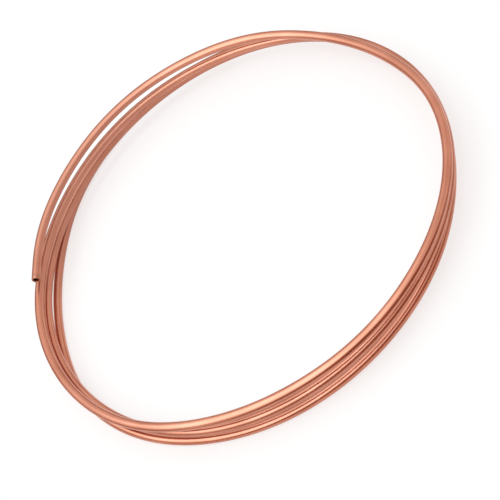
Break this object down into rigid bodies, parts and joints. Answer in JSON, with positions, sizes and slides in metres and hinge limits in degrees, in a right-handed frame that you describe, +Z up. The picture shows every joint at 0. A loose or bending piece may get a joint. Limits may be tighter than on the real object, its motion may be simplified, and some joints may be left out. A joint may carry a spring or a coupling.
{
  "type": "copper tube coil",
  "caption": "Loose coil of soft round copper tube, hollow from end to end, lying flat with its square-cut ends open to take fittings.",
  "frame": {"origin": "middle of the coil's box, on the floor that it lies on", "axes": "+Z up, along the coil's axis; -Y towards the viewer's near side, where the turns fan out; the free top end lies at -X +Y"},
  "size_m": [0.3006, 0.3176, 0.037],
  "materials": {
    "copper": "bright annealed copper, satin"
  },
  "bodies": {
    "root": {"copper_tube": "copper"}
  },
  "joints": []
}
